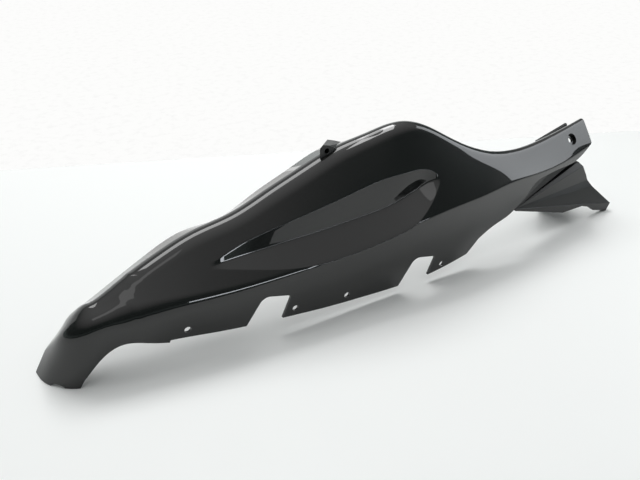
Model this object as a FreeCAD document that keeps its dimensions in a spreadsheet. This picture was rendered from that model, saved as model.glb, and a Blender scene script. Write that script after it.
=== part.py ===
import FreeCAD, Part
import math
import os
from FreeCAD import Vector

# Tail fairing of a motorcycle, one side, lying as it rests off the machine: millimetres.
# X runs from the tail tip to the front, Z is up, and the painted outer side faces -Y.

os.makedirs("parts", exist_ok=True)
doc = FreeCAD.newDocument("tail_fairing")
sheet = doc.addObject("Spreadsheet::Sheet", "Params")
nextRow = 1


def setSize(alias, value, note=""):
    """One driving dimension in the sheet, in millimetres or degrees."""
    global nextRow
    sheet.set("A%d" % nextRow, note or alias)
    sheet.set("B%d" % nextRow, str(value))
    sheet.setAlias("B%d" % nextRow, alias)
    nextRow += 1


# The panel's sections, each across the length at x: flange edge, ridge and crease as y and z,
# then the radii that round the ridge and the crease
sectionColumns = ("x", "flange_y", "flange_z", "ridge_y", "ridge_z", "crease_y", "crease_z",
                  "ridge_radius", "crease_radius")
sections = [
    (40, 45, 55, 15, 73, -9, 64, 16, 15),
    (70, 46, 70, 16, 87, -13, 63, 17, 15),
    (100, 48, 84, 17, 99, -17, 62, 18, 14),
    (140, 52, 97, 18, 112, -21, 61, 18, 13),
    (180, 52, 101, 19, 122, -24, 61.5, 18, 12),
    (220, 54, 117, 20, 134, -26, 63, 18, 11),
    (260, 55, 133, 20, 148, -28, 66, 18, 10),
    (300, 56, 147, 20, 161, -29, 71, 17, 9),
    (340, 54, 148, 20, 173, -30, 77, 15, 7),
    (375, 49, 147, 19, 182, -30, 82, 14, 5),
    (400, 44, 139, 18, 176, -29, 84.5, 14, 4),
    (430, 38, 125, 15, 157, -27, 86, 13, 4),
    (460, 32, 112, 12, 138, -24, 87, 12, 4),
    (500, 27, 102, 10, 121, -18.5, 89, 10, 4),
    (540, 28, 99, 11, 115, -12, 89, 9, 4),
    (580, 32, 100, 16, 116, -5, 89, 8, 4),
    (620, 38, 103, 22, 119, 2, 91, 8, 4),
    (665, 46, 107, 30, 123, 9, 97, 8, 4),
]
# The beak: sections fanned about the pivot, each with its angle, flange edge as x, y and z, and
# the radius and height of ridge and crease and the radius of the foot
noseColumns = ("angle", "flange_x", "flange_y", "flange_z", "ridge_out", "ridge_z",
               "crease_out", "crease_z", "foot_out")
noseSections = [
    (22, 35, 45, 53, 26, 70, 49, 60, 52),
    (45, 30, 44, 50.5, 24, 62, 45, 51, 56),
    (68, 26, 43, 48.5, 22, 53, 41, 36, 59),
    (90, 24, 42, 47, 20, 44, 43, 21, 58.5),
]
# The V-shaped scoop: at each x the height of its upper edge, its valley's y and z, and the
# height of its lower edge
scoopColumns = ("x", "top_z", "valley_y", "valley_z", "low_z")
scoopSections = [
    (146, 86, -5.5, 84, 60),
    (180, 96, -2.5, 85, 60),
    (220, 103.5, -2.5, 86.5, 61),
    (260, 111, -3, 88, 64),
    (300, 119, -3.5, 90.5, 68.5),
    (335, 125.5, -4, 93.5, 73),
    (358, 129, -4, 98, 79),
    (376, 131, -4, 104, 89.5),
    (388, 130.5, -6, 110, 99),
    (396, 126, -10, 115, 108),
    (402, 120.5, -15, 118, 116),
]
# Points of the skirt's lower edge, seen from the side, as x and z
edgePoints = {
    "arch": [(16, 7), (34, 25.5), (54, 34.5), (76, 29.5), (95, 23)],
    "edge": [(96, 25.5), (168, 18), (250, 11.5), (330, 7.5), (390, 8), (445, 15)],
    "front": [(461, 30), (484, 38.8), (512, 45.5), (524, 52), (541, 64), (549, 75), (568, 78.5),
              (598, 80), (630, 82)],
}
sizes = [
    ("wall", 2.8, "thickness of the moulded panel"),
    ("pivot_x", 40, "axis of the beak's fanned sections"),
    ("pivot_y", 42, "axis of the beak's fanned sections"),
    ("skirt_draft", 0.13, "skirt's lean inwards for each mm down"),
    ("foot_z", -6, "height to which the skirt runs before it is trimmed"),
    ("arm_spare", 25, "length of the arm's sections beyond the last one, trimmed away"),
    ("arm_end_x", 656, "front end of the arm at its top"),
    ("arm_end_low_x", 652, "front end of the arm at the crease"),
    ("arm_corner_z", 83, "height of the arm's lower front corner"),
    ("arm_corner_radius", 12, "rounding of the arm's lower front corner"),
    ("notch_x", -5, "middle of the beak's half-moon notch"),
    ("notch_half_width", 7, "half the width of the beak's notch"),
    ("notch_height", 3.5, "height of the beak's notch"),
    ("first_cutout_x", 170, "left foot of the rear lower cut-out"),
    ("first_cutout_z", 17.5, "left foot of the rear lower cut-out"),
    ("second_cutout_x", 348, "left foot of the front lower cut-out"),
    ("second_cutout_z", 8, "left foot of the front lower cut-out"),
    ("cutout_width", 40, "width of a cut-out between its feet"),
    ("cutout_left_x", 17.5, "upper left corner of a cut-out from its left foot"),
    ("cutout_left_z", 29.5, "upper left corner of a cut-out from its left foot"),
    ("cutout_right_x", 47.5, "upper right corner of a cut-out from its left foot"),
    ("cutout_right_z", 22, "upper right corner of a cut-out from its left foot"),
    ("cutout_left_radius", 10, "rounding of the upper left corner"),
    ("cutout_right_radius", 4, "rounding of the upper right corner"),
    ("edge_hole_diameter", 6.4, "clearance holes along the lower edge"),
    ("first_hole_x", 112.5, "rearmost edge hole"),
    ("first_hole_z", 32.5, "rearmost edge hole"),
    ("second_hole_x", 222.5, "second edge hole"),
    ("second_hole_z", 22, "second edge hole"),
    ("third_hole_x", 282, "third edge hole"),
    ("third_hole_z", 18, "third edge hole"),
    ("fourth_hole_x", 406.5, "front edge hole"),
    ("fourth_hole_z", 15.5, "front edge hole"),
    ("seat_x", 625, "screw seat in the arm"),
    ("seat_drop", 18, "screw seat below the arm's ridge, along the face"),
    ("seat_diameter", 14, "recess for the screw's head"),
    ("seat_depth", 4, "depth of that recess"),
    ("seat_hole_diameter", 6.4, "hole for the screw's shank"),
    ("seat_floor", 2.5, "thickness of the seat's floor"),
    ("first_screw_x", 565, "rear screw of the extension"),
    ("second_screw_x", 607, "front screw of the extension"),
    ("screw_z", 86, "height of the extension's screws"),
    ("boss_diameter", 8, "bosses that take the extension's screws"),
    ("boss_length", 8, "length of a boss, from the skirt's inner face"),
    ("screw_diameter", 4, "shank of a self-tapping screw"),
    ("screw_fit", 0.1, "play of a shank in its boss"),
    ("screw_length", 8, "length under a screw's head"),
    ("head_diameter", 8, "pan head of a screw"),
    ("head_height", 2.6, "pan head of a screw"),
    ("head_chamfer", 0.4, "bevel round a head, as a share of its height"),
    ("recess_length", 4.4, "cross recess in a head"),
    ("recess_width", 1.2, "cross recess in a head"),
    ("pad_thickness", 3.2, "extension's pad under a screw's head"),
    ("pad_diameter", 11, "extension's pad under a screw's head"),
    ("extension_sheet", 3, "thickness of the extension, measured across the machine"),
    ("lip_depth", 5, "depth of the extension's bottom lip"),
    ("lip_proud", 1.5, "how far the lip stands out from the facets"),
    ("web_z", 49, "height of the web between the extension's two walls"),
    ("web_thickness", 2.5, "thickness of that web"),
    ("bracket_x", 280, "rear face of the seat bracket"),
    ("bracket_length", 32, "length of the seat bracket"),
    ("bracket_y", 25, "outer face of the seat bracket"),
    ("bracket_width", 22, "width of the seat bracket"),
    ("bracket_rise", 11, "top of the bracket above the flange at its outer rear corner"),
    ("bracket_sink", 26, "depth below that corner from which it is cut to the flange"),
    ("bracket_wall", 3, "walls of the seat bracket"),
    ("bracket_hole_diameter", 5.5, "hole in the seat bracket"),
    ("bracket_hole_inset", 7, "hole in the seat bracket, from its rear face and its top"),
]
# Corners of the extension's folded facets and of its inner wall, as x, y and z
facetPoints = {
    "corner": (524, -5.5, 45.5), "tab_rear": (548, 1, 91), "tab_front": (640, 18, 91),
    "top": (637.5, 12, 74.7), "groove": (632.5, 14, 71.6), "brow": (642.4, 6, 68),
    "hollow": (639.5, -2, 61), "fold": (637.6, -8, 56), "front": (651.5, -6, 44),
    "point": (696, -1, 9.5),
    "wall_rear": (583, 34, 104), "wall_top": (650, 45.5, 109), "wall_front": (655, 46, 60),
    "wall_toe": (650, 45.5, 0), "wall_heel": (600, 37, 0), "wall_low": (575, 33, 60),
}
facets = [
    ("corner", "tab_rear", "tab_front"), ("corner", "tab_front", "top"),
    ("corner", "top", "groove"), ("corner", "groove", "brow"), ("groove", "top", "brow"),
    ("corner", "brow", "hollow"), ("corner", "hollow", "fold"), ("corner", "fold", "front"),
    ("corner", "front", "point"), ("wall_low", "wall_rear", "wall_top"),
    ("wall_low", "wall_top", "wall_front"), ("wall_low", "wall_front", "wall_toe"),
    ("wall_low", "wall_toe", "wall_heel"),
]
# The lip's lower outline below the facets, as x and z
lipOutline = [(690, 0), (666, 7), (657, 12.5), (639, 19), (607, 20.5), (582, 27.5), (524, 43)]

for row, values in enumerate(sections, start=1):
    for column, value in zip(sectionColumns, values):
        setSize("section%d_%s" % (row, column), value)
for row, values in enumerate(noseSections, start=1):
    for column, value in zip(noseColumns, values):
        setSize("nose%d_%s" % (row, column), value)
for row, values in enumerate(scoopSections, start=1):
    for column, value in zip(scoopColumns, values):
        setSize("scoop%d_%s" % (row, column), value)
for name, points in edgePoints.items():
    for row, (px, pz) in enumerate(points, start=1):
        setSize("%s%d_x" % (name, row), px)
        setSize("%s%d_z" % (name, row), pz)
for name, point in facetPoints.items():
    for axis, value in zip("xyz", point):
        setSize("facet_%s_%s" % (name, axis), value)
for row, (px, pz) in enumerate(lipOutline, start=1):
    setSize("lip%d_x" % row, px)
    setSize("lip%d_z" % row, pz)
for alias, value, note in sizes:
    setSize(alias, value, note)
doc.recompute()


def size(alias):
    """The sheet's value for an alias."""
    return float(sheet.get(alias))


def sizeRow(prefix, row, columns):
    """One row of a table in the sheet."""
    return [size("%s%d_%s" % (prefix, row, column)) for column in columns]


def edgeLine(name):
    """The points of one stretch of the lower edge, as (x, z)."""
    count = len(edgePoints[name])
    return [(size("%s%d_x" % (name, row)), size("%s%d_z" % (name, row)))
            for row in range(1, count + 1)]


class SmoothTable:
    """Natural cubic splines through the columns of a table, straight beyond its ends."""

    def __init__(self, places, rows):
        self.places = places
        self.rows = rows
        count = len(places)
        gaps = [places[i + 1] - places[i] for i in range(count - 1)]
        self.bends = [[0.0] * len(rows[0]) for _ in range(count)]
        for column in range(len(rows[0])):
            values = [row[column] for row in rows]
            above = [0.0] * count
            right = [0.0] * count
            for i in range(1, count - 1):
                turn = 6 * ((values[i + 1] - values[i]) / gaps[i]
                            - (values[i] - values[i - 1]) / gaps[i - 1])
                pivot = 2 * (gaps[i - 1] + gaps[i]) - gaps[i - 1] * above[i - 1]
                above[i] = gaps[i] / pivot
                right[i] = (turn - gaps[i - 1] * right[i - 1]) / pivot
            for i in range(count - 2, 0, -1):
                self.bends[i][column] = right[i] - above[i] * self.bends[i + 1][column]

    def at(self, place):
        inside = min(max(place, self.places[0]), self.places[-1])
        i = 0
        while i < len(self.places) - 2 and inside > self.places[i + 1]:
            i += 1
        gap = self.places[i + 1] - self.places[i]
        before = (self.places[i + 1] - inside) / gap
        after = 1 - before
        result = []
        for column in range(len(self.rows[0])):
            low, high = self.rows[i][column], self.rows[i + 1][column]
            bendLow, bendHigh = self.bends[i][column], self.bends[i + 1][column]
            value = (before * low + after * high
                     + ((before ** 3 - before) * bendLow + (after ** 3 - after) * bendHigh)
                     * gap * gap / 6)
            slope = ((high - low) / gap + ((1 - 3 * before ** 2) * bendLow
                                           + (3 * after ** 2 - 1) * bendHigh) * gap / 6)
            result.append(value + slope * (place - inside))
        return result


wall = size("wall")
pivot = Vector(size("pivot_x"), size("pivot_y"), 0)
noseSpread = 80.0

# Each row of the guide table holds flange, ridge, crease and foot as points, the two radii,
# and the direction that leads inwards from the foot
guidePlaces = []
guideRows = []
for row in range(len(noseSections), 0, -1):
    (angle, flangeX, flangeY, flangeZ, ridgeOut, ridgeZ, creaseOut, creaseZ,
     footOut) = sizeRow("nose", row, noseColumns)
    out = Vector(-math.sin(math.radians(angle)), -math.cos(math.radians(angle)), 0)
    ridge = pivot + out * ridgeOut
    crease = pivot + out * creaseOut
    foot = pivot + out * footOut
    guidePlaces.append(size("section1_x") - noseSpread * angle / 90)
    guideRows.append([flangeX, flangeY, flangeZ, ridge.x, ridge.y, ridgeZ, crease.x, crease.y,
                      creaseZ, foot.x, foot.y, size("foot_z"), size("section1_ridge_radius"),
                      size("section1_crease_radius"), -out.x, -out.y])
for row in range(1, len(sections) + 1):
    (x, flangeY, flangeZ, ridgeY, ridgeZ, creaseY, creaseZ, ridgeRadius,
     creaseRadius) = sizeRow("section", row, sectionColumns)
    footY = creaseY + size("skirt_draft") * (creaseZ - size("foot_z"))
    if row < 3:
        footY = creaseY + size("skirt_draft") * creaseZ / 2
    guidePlaces.append(x)
    guideRows.append([x, flangeY, flangeZ, x, ridgeY, ridgeZ, x, creaseY, creaseZ, x, footY,
                      size("foot_z"), ridgeRadius, creaseRadius, 0, 1])
guides = SmoothTable(guidePlaces, guideRows)


def sectionCorners(place):
    """Flange edge, ridge, crease and foot of the skin, its two radii and the way inwards."""
    values = guides.at(place)
    corners = [Vector(*values[i:i + 3]) for i in (0, 3, 6, 9)]
    return corners, values[12], values[13], Vector(values[14], values[15], 0)


def roundCorner(before, corner, after, radius):
    """The arc that rounds a corner, as its start, middle and end."""
    inwards = (before - corner).normalize()
    onwards = (after - corner).normalize()
    half = 0.5 * inwards.getAngle(onwards)
    reach = min(radius / math.tan(half), 0.45 * before.distanceToPoint(corner),
                0.45 * after.distanceToPoint(corner))
    used = reach * math.tan(half)
    middleWay = (inwards + onwards).normalize()
    centre = corner + middleWay * (used / math.sin(half))
    return corner + inwards * reach, centre - middleWay * used, corner + onwards * reach


def innerCorners(place):
    """The skin's corners moved in by the wall."""
    flange, ridge, crease, foot = sectionCorners(place)[0]
    flangeWay = (flange - ridge).normalize()
    sideWay = (crease - ridge).normalize()
    skirtWay = (foot - crease).normalize()
    across = flangeWay.cross(sideWay).normalize()
    skirtAcross = (ridge - crease).normalize().cross(skirtWay).normalize()
    flangeIn = across.cross(flangeWay).normalize()
    sideIn = sideWay.cross(across).normalize()
    skirtIn = skirtWay.cross(skirtAcross).normalize()
    ridgeHalf = 0.5 * flangeWay.getAngle(sideWay)
    creaseHalf = 0.5 * (ridge - crease).getAngle(foot - crease)
    innerRidge = ridge + (flangeIn + sideIn).normalize() * (wall / math.sin(ridgeHalf))
    innerCrease = crease + (sideIn + skirtIn).normalize() * (wall / math.sin(creaseHalf))
    return flange + flangeIn * wall, innerRidge, innerCrease, foot + skirtIn * wall


def skinWire(place):
    """A closed section of the skin: its outer face down to the foot and its inner face back up."""
    flange, ridge, crease, foot = sectionCorners(place)[0]
    ridgeRadius, creaseRadius = sectionCorners(place)[1:3]
    innerFlange, innerRidge, innerCrease, innerFoot = innerCorners(place)
    ridgeArc = roundCorner(flange, ridge, crease, ridgeRadius)
    creaseArc = roundCorner(ridge, crease, foot, creaseRadius)
    innerCreaseArc = roundCorner(innerFoot, innerCrease, innerRidge, creaseRadius - wall)
    innerRidgeArc = roundCorner(innerCrease, innerRidge, innerFlange, ridgeRadius - wall)
    edges = [Part.LineSegment(flange, ridgeArc[0]), Part.Arc(*ridgeArc),
             Part.LineSegment(ridgeArc[2], creaseArc[0]), Part.Arc(*creaseArc),
             Part.LineSegment(creaseArc[2], foot), Part.LineSegment(foot, innerFoot),
             Part.LineSegment(innerFoot, innerCreaseArc[0]), Part.Arc(*innerCreaseArc),
             Part.LineSegment(innerCreaseArc[2], innerRidgeArc[0]), Part.Arc(*innerRidgeArc),
             Part.LineSegment(innerRidgeArc[2], innerFlange),
             Part.LineSegment(innerFlange, flange)]
    return Part.Wire([edge.toShape() for edge in edges])


def addShape(name, shape):
    """A computed solid as an object of the document."""
    feature = doc.addObject("Part::Feature", name)
    feature.Shape = shape
    return feature


def addBoolean(kind, name, base, tool):
    """One boolean between two objects of the document."""
    result = doc.addObject("Part::" + kind, name)
    result.Base = base
    result.Tool = tool
    return result


firstPlace = guidePlaces[0]
lastPlace = guidePlaces[-1] + size("arm_spare")
spanCount = 52
places = [firstPlace + (lastPlace - firstPlace) * i / spanCount for i in range(spanCount + 1)]
skin = addShape("Skin", Part.makeLoft([skinWire(place) for place in places], True, True))


def skinY(x, z):
    """How far out the skin lies at x and z, on its side face or its skirt."""
    flange, ridge, crease, foot = sectionCorners(x)[0]
    high, low = (ridge, crease) if z > crease.z else (crease, foot)
    share = (high.z - z) / (high.z - low.z)
    return high.y + (low.y - high.y) * share


outside = -90.0
lipSpare = 2.0
rootDepth = 1.8
leastDepth = 1.5
bisections = 30


def rootPoint(start, end):
    """Where a line from inside meets the middle of the skin's thickness."""
    near, far = 0.0, 2.0
    for step in range(bisections):
        share = (near + far) / 2
        spot = start + (end - start) * share
        if spot.y - skinY(spot.x, spot.z) > rootDepth:
            near = share
        else:
            far = share
    return start + (end - start) * near


def growTriangle(valley, low, top, distance):
    """The three corners moved away from their middle, so that each side moves by the distance."""
    corners = [valley, low, top]
    grown = []
    for i in range(3):
        before, corner, after = corners[i - 1], corners[i], corners[(i + 1) % 3]
        inwards = (before - corner).normalize()
        onwards = (after - corner).normalize()
        half = max(0.5 * inwards.getAngle(onwards), sharpest)
        grown.append(corner - (inwards + onwards).normalize() * (distance / math.sin(half)))
    return grown


sharpest = math.radians(35)
scoopRows = [sizeRow("scoop", row, scoopColumns) for row in range(1, len(scoopSections) + 1)]
scoopGuides = SmoothTable([row[0] for row in scoopRows], [row[1:] for row in scoopRows])
scoopStart, scoopEnd = scoopRows[0][0], scoopRows[-1][0]
scoopBend = scoopRows[6][0]
scoopSpans = 32


def scoopLoft(growth):
    """The space that the scoop takes out of the panel, or grown, the block that backs it."""
    wires = []
    for step in range(scoopSpans + 1):
        share = step / scoopSpans
        x = scoopStart + (scoopEnd - scoopStart) * (1 - (1 - share) ** 1.35)
        topZ, valleyY, valleyZ, lowZ = scoopGuides.at(x)
        valley = Vector(x, valleyY, valleyZ)
        top = Vector(x, skinY(x, topZ), topZ)
        top = top + (top - valley).normalize() * lipSpare
        low = Vector(x, skinY(x, lowZ), lowZ)
        outline = [valley, low, Vector(x, outside, lowZ), Vector(x, outside, top.z), top]
        if growth:
            valley, low, top = growTriangle(valley, low, top, growth)
            valley.y = max(valley.y, skinY(x, valley.z) + rootDepth + leastDepth)
            low.y = min(low.y, skinY(x, low.z))
            top.y = min(top.y, skinY(x, top.z))
            lean = max(0.0, (x - scoopBend) / (scoopEnd - scoopBend)) - (1.0 if step == 0 else 0.0)
            outline = [point + Vector(growth * lean, 0, 0) for point in
                       (valley, rootPoint(valley, low), rootPoint(valley, top))]
        wires.append(Part.makePolygon(outline + outline[:1]))
    return Part.makeLoft(wires, True, True)


scoop = addShape("ScoopSpace", scoopLoft(0))
scoopBack = addShape("ScoopBack", scoopLoft(wall))
backedSkin = addBoolean("Fuse", "BackedSkin", skin, scoopBack)
shell = addBoolean("Cut", "ScoopedSkin", backedSkin, scoop)

sideReach = 150.0
below = -40.0
beyond = 90.0


def sidePoint(x, z):
    """A point of the side view, in the plane from which cutting tools are drawn."""
    return Vector(x, -sideReach, z)


def spline(points):
    """A smooth curve through points of the side view."""
    curve = Part.BSplineCurve()
    curve.interpolate([sidePoint(x, z) for x, z in points])
    return curve.toShape()


def lines(points):
    """Straight edges through points of the side view."""
    return [Part.LineSegment(sidePoint(*points[i]), sidePoint(*points[i + 1])).toShape()
            for i in range(len(points) - 1)]


def roundedPolygon(points, radii):
    """A closed wire of the side view, with the corners that have a radius rounded."""
    corners = [sidePoint(*point) for point in points]
    count = len(corners)
    edges = []
    last = None
    first = None
    for i in range(count):
        if radii[i]:
            arc = roundCorner(corners[i - 1], corners[i], corners[(i + 1) % count], radii[i])
            start, end = arc[0], arc[2]
        else:
            arc, start, end = None, corners[i], corners[i]
        if last is None:
            first = start
        else:
            edges.append(Part.LineSegment(last, start).toShape())
        if arc:
            edges.append(Part.Arc(*arc).toShape())
        last = end
    edges.append(Part.LineSegment(last, first).toShape())
    return Part.Wire(edges)


def throughCut(wire):
    """A solid through the whole width from an outline of the side view."""
    return Part.Face(wire).extrude(Vector(0, 2 * sideReach, 0))


def trimWire():
    """Outline of what lies below and beyond the panel, seen from the side."""
    notchX, notchReach = size("notch_x"), size("notch_half_width")
    arch, edge, front = edgeLine("arch"), edgeLine("edge"), edgeLine("front")
    corner = (size("arm_end_low_x"), size("arm_corner_z"))
    top = (size("arm_end_x"), size("arm_corner_z") + beyond)
    bend = roundCorner(sidePoint(*front[-1]), sidePoint(*corner), sidePoint(*top),
                       size("arm_corner_radius"))
    left = guidePlaces[0] - beyond
    heelX = arch[0][0] - 4
    notch = Part.Arc(sidePoint(notchX - notchReach, 0), sidePoint(notchX, size("notch_height")),
                     sidePoint(notchX + notchReach, 0)).toShape()
    edges = lines([(left, 0), (notchX - notchReach, 0)]) + [notch]
    edges += lines([(notchX + notchReach, 0), (heelX, 0), arch[0]]) + [spline(arch)]
    edges += lines([arch[-1], edge[0]]) + [spline(edge)]
    edges += lines([edge[-1], front[0]]) + [spline(front)]
    edges += [Part.LineSegment(sidePoint(*front[-1]), bend[0]).toShape(),
              Part.Arc(*bend).toShape(), Part.LineSegment(bend[2], sidePoint(*top)).toShape()]
    edges += lines([top, (lastPlace + beyond, top[1]), (lastPlace + beyond, below),
                    (left, below), (left, 0)])
    return Part.Wire(edges)


def cutoutWire(x, z):
    """Outline of one slanted arch in the lower edge."""
    slope = size("cutout_left_x") / size("cutout_left_z")
    rise = size("cutout_right_z")
    lean = size("cutout_right_x") - size("cutout_width")
    points = [(x + below * slope, z + below), (x + size("cutout_left_x"), z + size("cutout_left_z")),
              (x + size("cutout_right_x"), z + rise),
              (x + size("cutout_width") + below * lean / rise, z + below)]
    return roundedPolygon(points, [0, size("cutout_left_radius"), size("cutout_right_radius"), 0])


trims = [addShape("EdgeTrim", throughCut(trimWire()))]
for name in ("first", "second"):
    trims.append(addShape(name.capitalize() + "Cutout", throughCut(
        cutoutWire(size(name + "_cutout_x"), size(name + "_cutout_z")))))


def bind(item, **expressions):
    """Tie properties of an object to the sheet; a dot in a name is written as two underscores."""
    for name, expression in expressions.items():
        item.setExpression(name.replace("__", "."), expression)


def cylinderAlongY(name, radius, length, x, y, z):
    """A cylinder along Y, tied to the sheet."""
    item = doc.addObject("Part::Cylinder", name)
    item.Placement = FreeCAD.Placement(Vector(0, 0, 0), FreeCAD.Rotation(Vector(1, 0, 0), -90))
    bind(item, Radius=radius, Height=length, Placement__Base__x=x, Placement__Base__y=y,
         Placement__Base__z=z)
    return item


for name in ("first", "second", "third", "fourth"):
    trims.append(cylinderAlongY(
        name.capitalize() + "EdgeHole", "Params.edge_hole_diameter / 2",
        "-3 * Params.section9_crease_y", "Params.%s_hole_x" % name,
        "2 * Params.section9_crease_y", "Params.%s_hole_z" % name))
cuts = doc.addObject("Part::MultiFuse", "PanelCuts")
cuts.Shapes = trims
trimmed = addBoolean("Cut", "TrimmedPanel", shell, cuts)

# The arm's screw seat: a recess with a pierced floor, square to the face
seatX = size("seat_x")
seatCorners = sectionCorners(seatX)[0]
seatWay = (seatCorners[2] - seatCorners[1]).normalize()
seatPlace = seatCorners[1] + seatWay * size("seat_drop")
alongRidge = (sectionCorners(seatX + wall)[0][1] - seatCorners[1]).normalize()
seatInwards = seatWay.cross(alongRidge).normalize()
if seatInwards.y < 0:
    seatInwards = seatInwards.negative()
seatTurn = FreeCAD.Rotation(Vector(0, 0, 1), seatInwards)


def seatCylinder(name, radius, start, length):
    """A cylinder on the seat's axis, from start below the face."""
    item = doc.addObject("Part::Cylinder", name)
    item.Placement = FreeCAD.Placement(seatPlace + seatInwards * start, seatTurn)
    bind(item, Radius=radius, Height=length)
    return item


seatBody = seatCylinder("SeatBody", "Params.seat_diameter / 2 + Params.wall", wall / 2,
                        "Params.seat_depth + Params.seat_floor - Params.wall / 2")
seatRecess = seatCylinder("SeatRecess", "Params.seat_diameter / 2", -2 * wall,
                          "Params.seat_depth + 2 * Params.wall")
seatHole = seatCylinder("SeatHole", "Params.seat_hole_diameter / 2", -2 * wall,
                        "Params.seat_depth + Params.seat_floor + 4 * Params.wall")


def screwPlace(name):
    """Where a screw of the extension meets its boss: on the skirt, a boss's length in."""
    x = size(name + "_screw_x")
    return Vector(x, skinY(x, size("screw_z")) + size("boss_length"), size("screw_z"))


bosses = [seatBody]
bossHoles = [seatRecess, seatHole]
screwNames = ("first", "second")
for name in screwNames:
    place = screwPlace(name)
    boss = doc.addObject("Part::Cylinder", name.capitalize() + "Boss")
    boss.Placement = FreeCAD.Placement(place - Vector(0, size("boss_length") - wall / 2, 0),
                                       FreeCAD.Rotation(Vector(1, 0, 0), -90))
    bind(boss, Radius="Params.boss_diameter / 2", Height="Params.boss_length - Params.wall / 2")
    bosses.append(boss)
    hole = doc.addObject("Part::Cylinder", name.capitalize() + "BossHole")
    hole.Placement = FreeCAD.Placement(
        place - Vector(0, size("boss_length") - wall, 0), FreeCAD.Rotation(Vector(1, 0, 0), -90))
    bind(hole, Radius="Params.screw_diameter / 2 + Params.screw_fit",
         Height="Params.boss_length")
    bossHoles.append(hole)
bossed = doc.addObject("Part::MultiFuse", "BossedPanel")
bossed.Shapes = [trimmed] + bosses
bossCuts = doc.addObject("Part::MultiFuse", "BossCuts")
bossCuts.Shapes = bossHoles
sidePanel = addBoolean("Cut", "SidePanel", bossed, bossCuts)
sidePanel.Label = "side_panel"


def facetPoint(name):
    """A corner of the extension's folded sheet."""
    return Vector(*[size("facet_%s_%s" % (name, axis)) for axis in "xyz"])


def extensionShape():
    """The front extension: folded facets, lip, inner wall and web, with a pad at each screw."""
    across = Vector(0, size("extension_sheet"), 0)
    pieces = [Part.Face(Part.makePolygon([facetPoint(name) for name in facet + facet[:1]]))
              .extrude(across) for facet in facets]
    corner, point = facetPoint("corner"), facetPoint("point")
    slope = (point.y - corner.y) / (point.x - corner.x)
    rim = [corner, point]
    for row in range(1, len(lipOutline) + 1):
        x, z = size("lip%d_x" % row), size("lip%d_z" % row)
        rim.append(Vector(x, corner.y + slope * (x - corner.x), z))
    rim = [spot - Vector(0, size("lip_proud"), 0) for spot in rim + rim[:1]]
    pieces.append(Part.Face(Part.makePolygon(rim)).extrude(Vector(0, size("lip_depth"), 0)))
    webZ = size("web_z")
    webNear = facetPoint("fold").y + size("extension_sheet") / 2
    wallSlope = (facetPoint("wall_front").y - facetPoint("wall_low").y) / (
        facetPoint("wall_front").x - facetPoint("wall_low").x)
    web = []
    for x in (facetPoint("wall_heel").x - 8, facetPoint("front").x - 7):
        wallY = facetPoint("wall_low").y + wallSlope * (x - facetPoint("wall_low").x)
        web.append((x, wallY + size("extension_sheet") / 2))
    outline = [Vector(web[0][0], webNear, webZ), Vector(web[1][0], webNear, webZ),
               Vector(web[1][0], web[1][1], webZ), Vector(web[0][0], web[0][1], webZ)]
    pieces.append(Part.Face(Part.makePolygon(outline + outline[:1]))
                  .extrude(Vector(0, 0, size("web_thickness"))))
    shape = pieces[0].multiFuse(pieces[1:])
    alongY = Vector(0, 1, 0)
    for name in screwNames:
        place = screwPlace(name)
        pad = Part.makeCylinder(size("pad_diameter") / 2, size("pad_thickness"), place, alongY)
        shape = shape.fuse(pad)
        room = size("boss_diameter") / 2 + 0.3
        shape = shape.cut(Part.makeCylinder(room, sideReach, place - alongY * sideReach, alongY))
        headRoom = Part.makeCylinder(size("pad_diameter") / 2, size("boss_length"),
                                     place + alongY * size("pad_thickness"), alongY)
        shape = shape.cut(headRoom)
        shape = shape.cut(Part.makeCylinder(size("screw_diameter") / 2 + size("screw_fit"),
                                            sideReach, place - alongY, alongY))
    return shape.removeSplitter()


def screwShape(place):
    """A self-tapping screw with a pan head, driven from inside."""
    alongY = Vector(0, 1, 0)
    seat = place + alongY * size("pad_thickness")
    shank = Part.makeCylinder(size("screw_diameter") / 2, size("screw_length"),
                              seat - alongY * size("screw_length"), alongY)
    head = Part.makeCylinder(size("head_diameter") / 2, size("head_height"), seat, alongY)
    rim = [edge for edge in head.Edges if edge.Curve.TypeId == "Part::GeomCircle"
           and edge.CenterOfMass.y > seat.y + size("head_height") / 2]
    head = head.makeChamfer(size("head_height") * size("head_chamfer"), rim)
    half = size("recess_width") / 2
    slot = Part.makeBox(size("recess_length"), size("head_height"), 2 * half,
                        seat + Vector(-size("recess_length") / 2, size("head_height") / 2, -half))
    cross = slot.copy()
    cross.rotate(seat, alongY, 90)
    return shank.fuse(head).cut(slot).cut(cross)


extension = addShape("FrontExtension", extensionShape())
extension.Label = "front_extension"
screws = addShape("ExtensionScrews",
                  Part.makeCompound([screwShape(screwPlace(name)) for name in screwNames]))
screws.Label = "extension_screws"

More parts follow.
